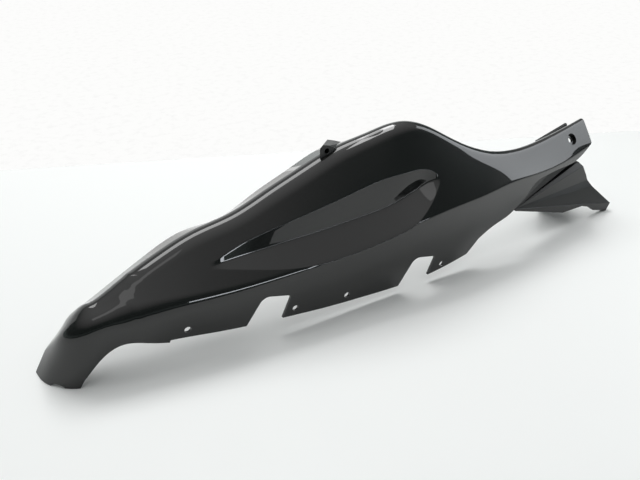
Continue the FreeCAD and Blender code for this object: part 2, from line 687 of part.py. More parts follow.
# The seat bracket: an open box on the flange, its foot cut to the flange's own surface
flangeEdge, flangeRidge = sectionCorners(size("bracket_x"))[0][:2]
flangeShare = (size("bracket_y") - flangeRidge.y) / (flangeEdge.y - flangeRidge.y)
setSize("flange_at_bracket_z", flangeRidge.z + flangeShare * (flangeEdge.z - flangeRidge.z),
        "height of the flange under the bracket, worked out from the guides")
bracketBox = doc.addObject("Part::Box", "BracketBox")
bind(bracketBox, Length="Params.bracket_length", Width="Params.bracket_width",
     Height="Params.bracket_rise + Params.bracket_sink",
     Placement__Base__x="Params.bracket_x", Placement__Base__y="Params.bracket_y",
     Placement__Base__z="Params.flange_at_bracket_z - Params.bracket_sink")
bracketRoom = doc.addObject("Part::Box", "BracketRoom")
bind(bracketRoom, Length="Params.bracket_length",
     Width="Params.bracket_width - 2 * Params.bracket_wall",
     Height="Params.bracket_rise + Params.bracket_sink",
     Placement__Base__x="Params.bracket_x + Params.bracket_wall",
     Placement__Base__y="Params.bracket_y + Params.bracket_wall",
     Placement__Base__z="Params.flange_at_bracket_z - Params.bracket_sink - Params.bracket_wall")
bracketHole = cylinderAlongY(
    "BracketHole", "Params.bracket_hole_diameter / 2", "2 * Params.bracket_wall",
    "Params.bracket_x + Params.bracket_hole_inset", "Params.bracket_y - Params.bracket_wall / 2",
    "Params.flange_at_bracket_z + Params.bracket_rise - Params.bracket_hole_inset")
bracketCuts = doc.addObject("Part::MultiFuse", "BracketCuts")
bracketCuts.Shapes = [bracketRoom, bracketHole, skin]
bracketHalves = addBoolean("Cut", "BracketHalves", bracketBox, bracketCuts)
doc.recompute()
bracket = addShape("SeatBracket", max(bracketHalves.Shape.Solids,
                                      key=lambda solid: solid.BoundBox.ZMax))
bracket.Label = "seat_bracket"

doc.recompute()
for item in doc.Objects:
    if "Invalid" in item.State or "Error" in item.State:
        raise RuntimeError("object failed: " + item.Name)
pieces = (sidePanel, extension, screws, bracket)
extent = FreeCAD.BoundBox()
for item in pieces:
    if item.Shape.isNull() or not item.Shape.isValid() or not item.Shape.Solids:
        raise RuntimeError("shape not valid: " + item.Label)
    extent.add(item.Shape.optimalBoundingBox(True, False))
# The origin of the exported pieces: under the middle of the part, at its lowest point
base = Vector(extent.Center.x, extent.Center.y, extent.ZMin)
for item in pieces:
    shape = item.Shape.copy()
    shape.translate(-base)
    shape.exportStep("parts/%s.step" % item.Label)
    print(item.Label, len(shape.Solids), "solids,", round(shape.Volume), "mm3")
print("extent", extent, "base", base)
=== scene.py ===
import math

import bmesh
import bpy
import numpy as np
from mathutils import Matrix, Vector
from mathutils.bvhtree import BVHTree


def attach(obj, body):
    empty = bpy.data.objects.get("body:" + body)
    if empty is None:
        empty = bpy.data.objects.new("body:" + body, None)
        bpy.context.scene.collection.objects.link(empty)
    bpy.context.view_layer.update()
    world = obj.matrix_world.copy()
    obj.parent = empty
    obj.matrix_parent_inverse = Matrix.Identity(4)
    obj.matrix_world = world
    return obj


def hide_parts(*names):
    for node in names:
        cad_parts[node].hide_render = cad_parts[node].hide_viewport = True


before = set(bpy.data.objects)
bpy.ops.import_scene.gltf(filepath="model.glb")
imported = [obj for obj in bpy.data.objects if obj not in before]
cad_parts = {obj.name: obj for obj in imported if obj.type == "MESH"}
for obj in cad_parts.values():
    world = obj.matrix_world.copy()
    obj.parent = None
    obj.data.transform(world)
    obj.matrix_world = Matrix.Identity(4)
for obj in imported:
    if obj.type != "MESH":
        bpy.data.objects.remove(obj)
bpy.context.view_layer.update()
print("frame loaded:", sorted(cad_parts))

millimetre = 0.001
# The guides below are in millimetres from the tail tip's contact with the table; the frame's
# origin lies under the middle of the part
tipToOrigin = np.array([340.472, 13.010, 0.0])


# Millimetres from the tail tip to metres in the frame
def toFrame(points):
    return (np.asarray(points, float) - tipToOrigin) * millimetre


# Camera at the photograph's viewing angle: angles in degrees, place, lens and sensor in mm, the
# nearest depth that it sees in metres
view = {"place": (-115.03, -605.67, 455.96), "turn": 32.004, "pitch": 28.0, "lens": 46.125,
        "sensor": 36.0, "nearest": 0.01}
cameraData = bpy.data.cameras.new("camera")
cameraData.lens = view["lens"]
cameraData.sensor_width = view["sensor"]
cameraData.clip_start = view["nearest"]
camera = bpy.data.objects.new("camera", cameraData)
camera.location = toFrame(view["place"])
camera.rotation_euler = (math.radians(90 - view["pitch"]), 0, math.radians(-view["turn"]))
bpy.context.scene.collection.objects.link(camera)
bpy.context.scene.camera = camera

# The painted panel's guides, as in the moulding's drawing
panel = {
    "wall": 2.8,
    "pivot": (40.0, 42.0),          # axis of the beak's fanned sections
    "skirtDraft": 0.13,             # lean of the skirt for each millimetre down
    "footZ": -6.0,
    "noseSpread": 80.0,             # places of the guide table for the beak's 90 degrees
    "armSpare": 8.0,                # length beyond the last section, trimmed away
    # x, flange y z, ridge y z, crease y z, ridge radius, crease radius
    "sections": [
        (40, 45, 55, 15, 73, -9, 64, 16, 22),
        (70, 46, 70, 16, 87, -13, 63, 17, 23),
        (100, 48, 84, 17, 99, -17, 62, 18, 22),
        (140, 52, 97, 18, 112, -21, 61, 18, 20),
        (180, 52, 101, 19, 122, -24, 61.5, 18, 17),
        (220, 54, 117, 20, 134, -26, 63, 18, 14),
        (260, 55, 133, 20, 148, -28, 66, 18, 10),
        (300, 56, 147, 20, 161, -29, 71, 17, 9),
        (340, 54, 148, 20, 173, -30, 77, 15, 7),
        (375, 49, 147, 19, 182, -30, 82, 14, 5),
        (400, 44, 139, 18, 176, -29, 84.5, 14, 4),
        (430, 38, 125, 15, 157, -27, 86, 13, 4),
        (460, 32, 112, 12, 138, -24, 87, 12, 4),
        (500, 27, 102, 10, 121, -18.5, 89, 10, 4),
        (540, 28, 99, 11, 115, -12, 86.5, 8, 4),
        (580, 32, 100, 16, 116, -5, 84.5, 7, 4),
        (620, 38, 103, 22, 119, 2, 87.5, 6, 4),
        (665, 46, 107, 30, 123, 9, 96.5, 5, 4),
    ],
    # angle, flange x y z, ridge reach z, crease reach z, foot reach
    "beak": [
        (22, 35, 45, 53, 26, 70, 49, 60, 52),
        (45, 30, 44, 50.5, 24, 62, 45, 51, 56),
        (68, 26, 43, 48.5, 22, 53, 41, 36, 59),
        (90, 24, 42, 47, 20, 44, 43, 21, 58.5),
    ],
    # x, top z, valley y z, low z
    "scoop": [
        (146, 86, -3.3, 84, 82),
        (180, 96, -2.5, 85, 75),
        (220, 103.5, -2.5, 86.5, 68),
        (260, 111, -3, 88, 66),
        (300, 119, -3.5, 90.5, 68.5),
        (335, 125.5, -4, 93.5, 73),
        (358, 127.5, -4, 98, 79),
        (376, 128, -4, 104, 89.5),
        (388, 126, -6, 110, 99),
        (396, 122, -10, 114, 107),
        (402, 117.5, -15, 115, 113),
    ],
}

# How the panel's surface is divided: rows along it, columns from the flange's edge to the foot
grid = {
    "ridgeArc": 25, "creaseArc": 17,    # points round the ridge and round the crease
    "above": 40,                        # columns from the flange's edge to the scoop's upper rim
    "below": 56,                        # columns from the scoop's lower rim to the foot
    "face": 7, "corner": 4,             # columns on each face and at each corner of the scoop
    "rimRadius": 1.3, "valleyRadius": 2.0,
    "rimRoom": 0.6,                     # from the rim's rounding to the next column
    "fadeIn": 8,                        # length over which the scoop sinks in from its tip
    "fanLength": 60, "fanReach": 12,    # how the columns spread again beyond the scoop's end
    "valleyShift": 1.25,                # the inner valley lies this many wall depths further in
    "leastArm": 0.05,                   # a corner with shorter arms isn't rounded
    "straight": -0.9995,                # nor one whose arms' cosine is below this
    "lengthSteps": 240,                 # fine steps in which a section's length is shared out
    "ridgeCrowd": (6.0, 1.2),           # least width and strength of the crowding at the ridge
    "creaseCrowd": (3.0, 26.0, 5.0),    # least width, strength by radius and its limit there
    # place, and length of a row from there on
    "noseStep": 2.0,
    "rowSteps": [(40, 3.0), (70, 4.5), (350, 3.0), (366, 1.5), (404, 1.5), (412, 4.0), (665, 4.0)],
}


# A natural cubic curve through the rows of a table, straight beyond its ends
class SmoothTable:
    def __init__(self, places, rows):
        self.places = np.array(places, float)
        self.rows = np.array(rows, float)
        count = len(places)
        matrix = np.zeros((count, count))
        right = np.zeros_like(self.rows)
        matrix[0, 0] = matrix[-1, -1] = 1
        for i in range(1, count - 1):
            before = self.places[i] - self.places[i - 1]
            after = self.places[i + 1] - self.places[i]
            matrix[i, i - 1:i + 2] = before, 2 * (before + after), after
            right[i] = 6 * ((self.rows[i + 1] - self.rows[i]) / after
                            - (self.rows[i] - self.rows[i - 1]) / before)
        self.bends = np.linalg.solve(matrix, right)

    def at(self, place):
        inside = min(max(place, self.places[0]), self.places[-1])
        i = int(np.clip(np.searchsorted(self.places, inside) - 1, 0, len(self.places) - 2))
        gap = self.places[i + 1] - self.places[i]
        before = (self.places[i + 1] - inside) / gap
        after = 1 - before
        low, high = self.rows[i], self.rows[i + 1]
        bendLow, bendHigh = self.bends[i], self.bends[i + 1]
        value = (before * low + after * high
                 + ((before ** 3 - before) * bendLow + (after ** 3 - after) * bendHigh)
                 * gap * gap / 6)
        slope = ((high - low) / gap + ((1 - 3 * before ** 2) * bendLow
                                       + (3 * after ** 2 - 1) * bendHigh) * gap / 6)
        return value + slope * (place - inside)


# The guide table of flange edge, ridge, crease and foot, and the two radii
def panelGuides():
    places, rows = [], []
    first = panel["sections"][0]
    for (angle, fx, fy, fz, ridgeOut, ridgeZ, creaseOut, creaseZ,
         footOut) in reversed(panel["beak"]):
        out = np.array([-math.sin(math.radians(angle)), -math.cos(math.radians(angle))])
        ridge, crease, foot = (np.array(panel["pivot"]) + out * reach
                               for reach in (ridgeOut, creaseOut, footOut))
        places.append(first[0] - panel["noseSpread"] * angle / 90)
        rows.append([fx, fy, fz, *ridge, ridgeZ, *crease, creaseZ, *foot, panel["footZ"],
                     first[7], first[8]])
    for row, (x, fy, fz, ry, rz, cy, cz, ridgeRadius,
              creaseRadius) in enumerate(panel["sections"]):
        drop = cz - panel["footZ"] if row > 1 else cz / 2    # the skirt stands up at the beak
        places.append(x)
        rows.append([x, fy, fz, x, ry, rz, x, cy, cz, x, cy + panel["skirtDraft"] * drop,
                     panel["footZ"], ridgeRadius, creaseRadius])
    return SmoothTable(places, rows)


guides = panelGuides()
scoopGuides = SmoothTable([row[0] for row in panel["scoop"]],
                          [row[1:] for row in panel["scoop"]])
roundingShare = 0.45        # an arc takes at most this share of each side


def unit(v):
    return v / np.linalg.norm(v)


# Points of the arc that rounds a corner
def arcPoints(before, corner, after, radius, count):
    inwards, onwards = unit(before - corner), unit(after - corner)
    half = 0.5 * math.acos(float(np.clip(inwards @ onwards, -1, 1)))
    reach = min(radius / math.tan(half), roundingShare * np.linalg.norm(before - corner),
                roundingShare * np.linalg.norm(after - corner))
    used = reach * math.tan(half)
    middleWay = unit(inwards + onwards)
    centre = corner + middleWay * (used / math.sin(half))
    spread = math.pi / 2 - half
    side = unit(onwards - inwards)
    angles = np.linspace(-spread, spread, count)
    return [centre + used * (side * math.sin(a) - middleWay * math.cos(a)) for a in angles]


# The section's corners moved in by a depth
def offsetCorners(corners, depth):
    flange, ridge, crease, foot = corners
    flangeWay, sideWay, skirtWay = unit(flange - ridge), unit(crease - ridge), unit(foot - crease)
    across = unit(np.cross(flangeWay, sideWay))
    skirtAcross = unit(np.cross(ridge - crease, skirtWay))
    flangeIn = unit(np.cross(across, flangeWay))
    sideIn = unit(np.cross(sideWay, across))
    skirtIn = unit(np.cross(skirtWay, skirtAcross))
    ridgeHalf = 0.5 * math.acos(float(flangeWay @ sideWay))
    creaseHalf = 0.5 * math.acos(float(unit(ridge - crease) @ unit(foot - crease)))
    return (flange + flangeIn * depth,
            ridge + unit(flangeIn + sideIn) * (depth / math.sin(ridgeHalf)),
            crease + unit(sideIn + skirtIn) * (depth / math.sin(creaseHalf)),
            foot + skirtIn * depth)


# A fine polyline of the skin's section, from the flange's edge to the foot
def sectionLine(place, depth=0.0):
    values = guides.at(place)
    corners = tuple(values[i:i + 3] for i in (0, 3, 6, 9))
    ridgeRadius, creaseRadius = values[12:] - depth
    if depth:
        corners = offsetCorners(corners, depth)
    flange, ridge, crease, foot = corners
    return np.array([flange] + arcPoints(flange, ridge, crease, ridgeRadius, grid["ridgeArc"])
                    + arcPoints(ridge, crease, foot, creaseRadius, grid["creaseArc"]) + [foot])


# Each point's distance from the first, measured along the line
def alongPoints(points):
    return np.concatenate([[0], np.cumsum(np.linalg.norm(np.diff(points, axis=0), axis=1))])


# A polyline that can be read by its length
class Line:
    def __init__(self, points):
        self.points = points
        self.lengths = alongPoints(points)
        self.total = self.lengths[-1]

    def at(self, lengths):
        return np.stack([np.interp(lengths, self.lengths, self.points[:, k]) for k in range(3)], 1)

    # Where the line, read from below, first reaches a height
    def lengthAtZ(self, z):
        heights = self.points[::-1, 2]
        peak = int(np.argmax(heights))
        return float(np.interp(z, heights[:peak + 1], self.lengths[::-1][:peak + 1]))


# Lengths along a section between two ends, closer together round its rounded corner
def columnLengths(start, end, count, crowd):
    centre, width, strength = crowd
    fine = np.linspace(start, end, grid["lengthSteps"])
    weight = 1 + strength * np.exp(-((fine - centre) / width) ** 2)
    total = np.concatenate([[0], np.cumsum(0.5 * (weight[1:] + weight[:-1]) * np.diff(fine))])
    return np.interp(np.linspace(0, total[-1], count + 1), total, fine)


# The rims' lengths, the upper rim, the valley and the lower rim of the scoop at a place, and the
# share of the full dip there
def scoopRow(place, outerLine, depth=0.0):
    first, last = panel["scoop"][0][0], panel["scoop"][-1][0]
    inside = min(max(place, first), last)
    topZ, valleyY, valleyZ, lowZ = scoopGuides.at(inside)
    topLength = outerLine.lengthAtZ(topZ + depth)
    lowLength = outerLine.lengthAtZ(lowZ - depth)
    if place > last:
        spread = min((place - last) / grid["fanLength"], 1.0) * grid["fanReach"]
        topLength -= spread
        lowLength += spread
    top, low = outerLine.at([topLength])[0], outerLine.at([lowLength])[0]
    onSkin = outerLine.at([outerLine.lengthAtZ(valleyZ)])[0]
    recess = max(valleyY + grid["valleyShift"] * depth - onSkin[1], 0.0)
    valley = onSkin + np.array([0, recess, 0])
    share = 0.0
    if first <= place <= last and recess > 0.0:
        share = min((place - first) / grid["fadeIn"], 1.0)
    return topLength, lowLength, top, valley, low, share * share * (3 - 2 * share)


# One row of the panel's grid, from the flange's edge to the foot
def panelRow(place, depth=0.0):
    line = Line(sectionLine(place, depth))
    ridgeRadius, creaseRadius = guides.at(place)[12:]
    topLength, lowLength, top, valley, low, share = scoopRow(place, line, depth)
    reach = grid["rimRadius"] + grid["rimRoom"]
    leastWidth, strength = grid["ridgeCrowd"]
    crowd = (line.lengths[1 + grid["ridgeArc"] // 2], max(ridgeRadius, leastWidth), strength)
    above = columnLengths(0, topLength - reach, grid["above"], crowd)
    leastWidth, strength, limit = grid["creaseCrowd"]
    crowd = (line.lengths[1 + grid["ridgeArc"] + grid["creaseArc"] // 2],
             max(creaseRadius, leastWidth), min(strength / creaseRadius, limit))
    below = columnLengths(lowLength + reach, line.total, grid["below"], crowd)
    corners = ((line.at([topLength - reach])[0], top, valley, grid["rimRadius"]),
               (top, valley, low, grid["valleyRadius"]),
               (valley, low, line.at([lowLength + reach])[0], grid["rimRadius"]))
    arcs = []
    for before, corner, after, radius in corners:
        arc = [corner] * grid["corner"]
        arms = before - corner, after - corner
        if share > 0 and min(np.linalg.norm(arm) for arm in arms) > grid["leastArm"]:
            if unit(arms[0]) @ unit(arms[1]) > grid["straight"]:
                arc = arcPoints(before, corner, after, radius, grid["corner"])
        arcs.append(arc)
    dip = []
    for i, arc in enumerate(arcs):
        dip.extend(arc)
        if i < 2:
            onwards = arcs[i + 1][0]
            steps = np.linspace(0, 1, grid["face"] + 1)[1:-1]
            dip.extend([arc[-1] + (onwards - arc[-1]) * step for step in steps])
    dip = np.array(dip)
    flat = line.at(np.linspace(topLength - reach, lowLength + reach, len(dip) + 2)[1:-1])
    return np.vstack([line.at(above), flat + (dip - flat) * share, line.at(below)])


# Places of the grid's rows, closer together at the beak and round the scoop's end
def panelPlaces():
    marks = [(guides.places[0], grid["noseStep"])] + grid["rowSteps"]
    places = [marks[0][0]]
    while places[-1] < guides.places[-1] + panel["armSpare"]:
        step = float(np.interp(places[-1], [m[0] for m in marks], [m[1] for m in marks]))
        places.append(places[-1] + step)
    return places


# A closed shell from two matching grids
def shellMesh(name, outer, inner):
    rows, columns = outer.shape[:2]
    points = np.vstack([outer.reshape(-1, 3), inner.reshape(-1, 3)])
    skip = rows * columns
    faces = []
    for i in range(rows - 1):
        a = i * columns
        b = a + columns
        for j in range(columns - 1):
            faces.append((a + j, b + j, b + j + 1, a + j + 1))
            faces.append((skip + a + j, skip + a + j + 1, skip + b + j + 1, skip + b + j))
        faces.append((a, skip + a, skip + b, b))
        e = columns - 1
        faces.append((a + e, b + e, skip + b + e, skip + a + e))
    for j in range(columns - 1):
        faces.append((j, j + 1, skip + j + 1, skip + j))
        a = (rows - 1) * columns + j
        faces.append((a, skip + a, skip + a + 1, a + 1))
    mesh = bpy.data.meshes.new(name)
    mesh.from_pydata(points.tolist(), [], faces)
    bm = bmesh.new()
    bm.from_mesh(mesh)
    bmesh.ops.recalc_face_normals(bm, faces=bm.faces)
    bm.to_mesh(mesh)
    bm.free()
    return mesh


def addObject(name, mesh):
    item = bpy.data.objects.new(name, mesh)
    bpy.context.scene.collection.objects.link(item)
    return item


# A smooth curve through points of the side view, by its chord length
def splinePoints(points, perSpan=10):
    points = np.array(points, float)
    lengths = alongPoints(points)
    table = SmoothTable(lengths, points)
    places = np.concatenate([np.linspace(lengths[i], lengths[i + 1], perSpan, endpoint=False)
                             for i in range(len(lengths) - 1)] + [[lengths[-1]]])
    return [tuple(table.at(place)) for place in places]


# The rounding of a corner in the side view
def flatArc(before, corner, after, radius, count=7):
    arc = arcPoints(*(np.array([*p, 0.0]) for p in (before, corner, after)), radius, count)
    return [(p[0], p[1]) for p in arc]


# The trimmed edges and holes, in x and z of the side view
edge = {
    "beyond": (-140, 800, -40),         # the trimming reaches as far behind, in front and below
    "toe": 4,                           # the beak's foot ends so far behind the arch
    "arch": [(16, 7), (34, 25.5), (54, 34.5), (76, 29.5), (95, 23)],
    "edge": [(96, 25.5), (168, 18), (250, 11.5), (330, 7.5), (390, 8), (445, 15)],
    "front": [(461, 30), (484, 38.8), (512, 45.5), (523, 52), (538, 63.5), (547, 73), (566, 77.5),
              (598, 78.2), (630, 79.5), (641, 84.5)],
    "armEnd": [(655.5, 95.5), (656, 173)], "armEndRadius": 4,
    "notch": (-4.4, 4.8, 2.6),          # middle, half width and height of the beak's half-moon
    "cutouts": [(170, 17.5), (348, 8)], "cutoutWidth": 40,
    "cutoutLeft": (17.5, 29.5, 10), "cutoutRight": (47.5, 22, 4),
    "holes": [(112.5, 32.5), (222.5, 22), (282, 18), (406.5, 15.5)], "holeRadius": 3.2,
    "drillStart": -60, "drillLength": 70,
}


# What lies below and beyond the panel, seen from the side
def trimOutline():
    middle, half, height = edge["notch"]
    bulge = (half * half + height * height) / (2 * height)
    swing = math.asin(half / bulge)
    notch = [(middle + bulge * math.sin(a), height - bulge + bulge * math.cos(a))
             for a in np.linspace(-swing, swing, 13)]
    front = edge["front"]
    low, high = edge["armEnd"]
    farRear, farFront, farLow = edge["beyond"]
    outline = [(farRear, 0)] + notch + [(edge["arch"][0][0] - edge["toe"], 0)]
    outline += splinePoints(edge["arch"]) + splinePoints(edge["edge"], perSpan=14)
    outline += splinePoints(front) + flatArc(front[-1], low, high, edge["armEndRadius"])
    outline += [high, (farFront, high[1]), (farFront, farLow), (farRear, farLow)]
    return outline


# One slanted arch in the lower edge
def cutoutOutline(x, z):
    leftX, leftZ, leftRadius = edge["cutoutLeft"]
    rightX, rightZ, rightRadius = edge["cutoutRight"]
    width, below = edge["cutoutWidth"], edge["beyond"][2]
    footLeft = (x + below * leftX / leftZ, z + below)
    footRight = (x + width + below * (rightX - width) / rightZ, z + below)
    left, right = (x + leftX, z + leftZ), (x + rightX, z + rightZ)
    return ([footLeft] + flatArc(footLeft, left, right, leftRadius)
            + flatArc(left, right, footRight, rightRadius) + [footRight])


# A prism across the machine from an outline of the side view
def addPrism(bm, outline, nearY=-150.0, farY=150.0):
    near = [bm.verts.new(toFrame((x, nearY, z))) for x, z in outline]
    far = [bm.verts.new(toFrame((x, farY, z))) for x, z in outline]
    count = len(outline)
    bm.faces.new(near)
    bm.faces.new(far[::-1])
    for i in range(count):
        bm.faces.new((near[i - 1], near[i], far[i], far[i - 1]))


# A solid of revolution: the profile gives radius and distance along the way
def addTurned(bm, place, way, profile, segments=48):
    way = Vector(way).normalized()
    side = way.orthogonal().normalized()
    other = way.cross(side)
    rings = []
    for radius, along in profile:
        rings.append([bm.verts.new(toFrame(np.array(place) + np.array(
            way * along + (side * math.cos(t) + other * math.sin(t)) * radius)))
            for t in np.linspace(0, 2 * math.pi, segments, endpoint=False)])
    for lower, upper in zip(rings, rings[1:]):
        for i in range(segments):
            bm.faces.new((lower[i - 1], lower[i], upper[i], upper[i - 1]))
    bm.faces.new(rings[0][::-1])
    bm.faces.new(rings[-1])


def meshFrom(name, bm):
    bmesh.ops.recalc_face_normals(bm, faces=bm.faces)
    mesh = bpy.data.meshes.new(name)
    bm.to_mesh(mesh)
    bm.free()
    return mesh


# Joins or cuts a solid mesh, and leaves the result in the object
def applyBoolean(item, mesh, operation):
    tool = addObject("tool", mesh)
    modifier = item.modifiers.new("boolean", "BOOLEAN")
    modifier.operation = operation
    modifier.solver = "EXACT"
    modifier.object = tool
    bpy.context.view_layer.update()
    evaluated = item.evaluated_get(bpy.context.evaluated_depsgraph_get())
    result = bpy.data.meshes.new_from_object(evaluated)
    print("  boolean", operation, len(item.data.polygons), "->", len(result.polygons), "faces")
    item.modifiers.clear()
    old = item.data
    item.data = result
    bpy.data.meshes.remove(old)
    bpy.data.objects.remove(tool)
    bpy.data.meshes.remove(mesh)


skin = {
    "leastArea": 1e-10, "leastSquare": 1e-18,   # smaller triangles are left out, in metres
    "sameWay": 0.8,                             # cosine up to which a face belongs to the skin
}


# Gives the cut panel the normals that its skin had before the cuts
def keepSkinNormals(item, cleanMesh):
    cleanMesh.calc_loop_triangles()
    points = [v.co.copy() for v in cleanMesh.vertices]
    normals = [v.normal.copy() for v in cleanMesh.vertices]
    triangles = [tuple(t.vertices) for t in cleanMesh.loop_triangles
                 if t.area > skin["leastArea"]]
    tree = BVHTree.FromPolygons(points, triangles)
    mesh = item.data
    smooth = []
    for vertex in mesh.vertices:
        place, _, index, _ = tree.find_nearest(vertex.co)
        a, b, c = triangles[index]
        corners = [points[i] for i in (a, b, c)]
        area = (corners[1] - corners[0]).cross(corners[2] - corners[0])
        size = max(area.dot(area), skin["leastSquare"])
        u = (corners[2] - corners[1]).cross(place - corners[1]).dot(area) / size
        v = (corners[0] - corners[2]).cross(place - corners[2]).dot(area) / size
        smooth.append((normals[a] * u + normals[b] * v + normals[c] * (1 - u - v)).normalized())
    loopNormals = [None] * len(mesh.loops)
    for polygon in mesh.polygons:
        for index in polygon.loop_indices:
            vertex = mesh.loops[index].vertex_index
            onSkin = smooth[vertex].dot(polygon.normal) > skin["sameWay"]
            loopNormals[index] = smooth[vertex] if onSkin else polygon.normal.copy()
    mesh.shade_smooth()
    mesh.normals_split_custom_set(loopNormals)


# Joins the points of faces that have no area
def clearSlivers(mesh, width=0.02 * millimetre):
    bm = bmesh.new()
    bm.from_mesh(mesh)
    bmesh.ops.dissolve_degenerate(bm, dist=width, edges=bm.edges)
    bm.to_mesh(mesh)
    bm.free()


# The recessed screw seat in the arm, and the bosses for the extension's screws
seat = {
    "place": (625.0, 12.343, 104.790), "inwards": (-0.086679, 0.809908, -0.580117),
    "recessRadius": 7.0, "recessDepth": 4.0, "holeRadius": 3.2, "floor": 2.5,
    "rim": 0.5, "rimLift": 0.1,         # the recess widens so much over its last 0.6 mm
    "roomAbove": 6, "roomBelow": 3,     # the cut reaches so far beyond both ends
}
screwPlaces = {"x": (565, 607), "z": 86, "bossStart": 4.2, "bossLength": 8, "bossRadius": 4}


# How far out the skirt lies
def skirtY(x, z):
    values = guides.at(x)
    crease, foot = values[6:9], values[9:12]
    return crease[1] + (foot[1] - crease[1]) * (crease[2] - z) / (crease[2] - foot[2])


# The panel: shell, bosses, trimmed edges, cut-outs and holes, screw seat
def makePanel():
    places = panelPlaces()
    outer = toFrame(np.array([panelRow(place) for place in places]))
    inner = toFrame(np.array([panelRow(place, panel["wall"]) for place in places]))
    clean = shellMesh("clean", outer, inner)
    item = addObject("panelShell", clean.copy())
    item.data.name = "panelShell"
    wall = panel["wall"]
    bm = bmesh.new()
    outerRadius = seat["recessRadius"] + wall
    floorDepth = seat["recessDepth"] + seat["floor"]
    addTurned(bm, seat["place"], seat["inwards"],
              [(outerRadius, wall / 2), (outerRadius, floorDepth)])
    for x in screwPlaces["x"]:
        start = skirtY(x, screwPlaces["z"])
        addTurned(bm, (x, start, screwPlaces["z"]), (0, 1, 0),
                  [(screwPlaces["bossRadius"], screwPlaces["bossStart"]),
                   (screwPlaces["bossRadius"], screwPlaces["bossLength"])], segments=24)
    applyBoolean(item, meshFrom("bosses", bm), "UNION")
    bm = bmesh.new()
    addPrism(bm, trimOutline())
    applyBoolean(item, meshFrom("trim", bm), "DIFFERENCE")
    bm = bmesh.new()
    for x, z in edge["cutouts"]:
        addPrism(bm, cutoutOutline(x, z))
    for x, z in edge["holes"]:
        addTurned(bm, (x, edge["drillStart"], z), (0, 1, 0),
                  [(edge["holeRadius"], 0), (edge["holeRadius"], edge["drillLength"])])
    applyBoolean(item, meshFrom("cutouts", bm), "DIFFERENCE")
    bm = bmesh.new()
    radius, rim = seat["recessRadius"], seat["rim"]
    addTurned(bm, seat["place"], seat["inwards"],
              [(radius + rim, -seat["roomAbove"]), (radius + rim, -seat["rimLift"]),
               (radius, rim), (radius, seat["recessDepth"]),
               (seat["holeRadius"], seat["recessDepth"]),
               (seat["holeRadius"], floorDepth + seat["roomBelow"])])
    applyBoolean(item, meshFrom("recess", bm), "DIFFERENCE")
    clearSlivers(item.data)
    keepSkinNormals(item, clean)
    bpy.data.meshes.remove(clean)
    return item


panelShell = makePanel()
print("panel built:", len(panelShell.data.polygons), "faces")


extension = {
    "sheet": 3.0, "lipProud": 1.5, "lipDepth": 5.0, "webZ": 49.0, "web": 2.5,
    "webRear": 8, "webFront": 22, "webInto": 3,     # its ends from heel and front, and in the wall
    "padRadius": 5.5, "padDepth": 3.2, "bossRoom": 4.3, "screwRoom": 2.1,
    "roomBefore": 20, "roomBehind": 12, "skim": 0.01,
    "points": {
        "corner": (524, -5.5, 45.5), "tabRear": (548, 1, 91), "tabFront": (640, 18, 91),
        "top": (636, 13.5, 75.2), "groove": (637, 17, 72), "crest": (640, 11, 72.8),
        "brow": (643.5, 5.6, 68), "hollow": (653.3, 7.5, 54.6), "fold": (659.9, 9.0, 44.6),
        "front": (664.9, 4.5, 36.8), "point": (696, -1, 9.5),
        "wallRear": (590, 35, 101.5), "wallTop": (650, 45.5, 109), "wallFront": (668, 47.7, 60),
        "wallToe": (650, 45.5, 0), "wallHeel": (618, 40, 0), "wallLow": (596, 36, 60),
    },
    "facets": [
        ("corner", "tabRear", "tabFront"), ("corner", "tabFront", "top"),
        ("corner", "top", "groove"), ("corner", "groove", "crest"), ("corner", "crest", "brow"),
        ("corner", "brow", "hollow"), ("corner", "hollow", "fold"), ("corner", "fold", "front"),
        ("corner", "front", "point"), ("wallLow", "wallRear", "wallTop"),
        ("wallLow", "wallTop", "wallFront"), ("wallLow", "wallFront", "wallToe"),
        ("wallLow", "wallToe", "wallHeel"),
    ],
    # x and z of the lip's lower edge
    "lip": [(690, 0), (664, 7.3), (654, 14.6), (641, 18.8), (607, 19), (582, 26.5), (524, 43.5)],
}


# A solid between two outlines of equal count, each a list of points
def addLoft(bm, nearPoints, farPoints):
    near = [bm.verts.new(toFrame(point)) for point in nearPoints]
    far = [bm.verts.new(toFrame(point)) for point in farPoints]
    bm.faces.new(near)
    bm.faces.new(far[::-1])
    for i in range(len(near)):
        bm.faces.new((near[i - 1], near[i], far[i], far[i - 1]))


# A flat sheet with its thickness across the machine
def addSheet(bm, corners, depth):
    addLoft(bm, corners, [(x, y + depth, z) for x, y, z in corners])


# One object from several solids, joined one after the other
def joinAll(name, builders):
    bm = bmesh.new()
    builders[0](bm)
    item = addObject(name, meshFrom(name, bm))
    for build in builders[1:]:
        bm = bmesh.new()
        build(bm)
        applyBoolean(item, meshFrom(name, bm), "UNION")
    return item


# Where the extension's pad meets the panel's boss
def padPlace(x):
    return x, skirtY(x, screwPlaces["z"]) + screwPlaces["bossLength"], screwPlaces["z"]


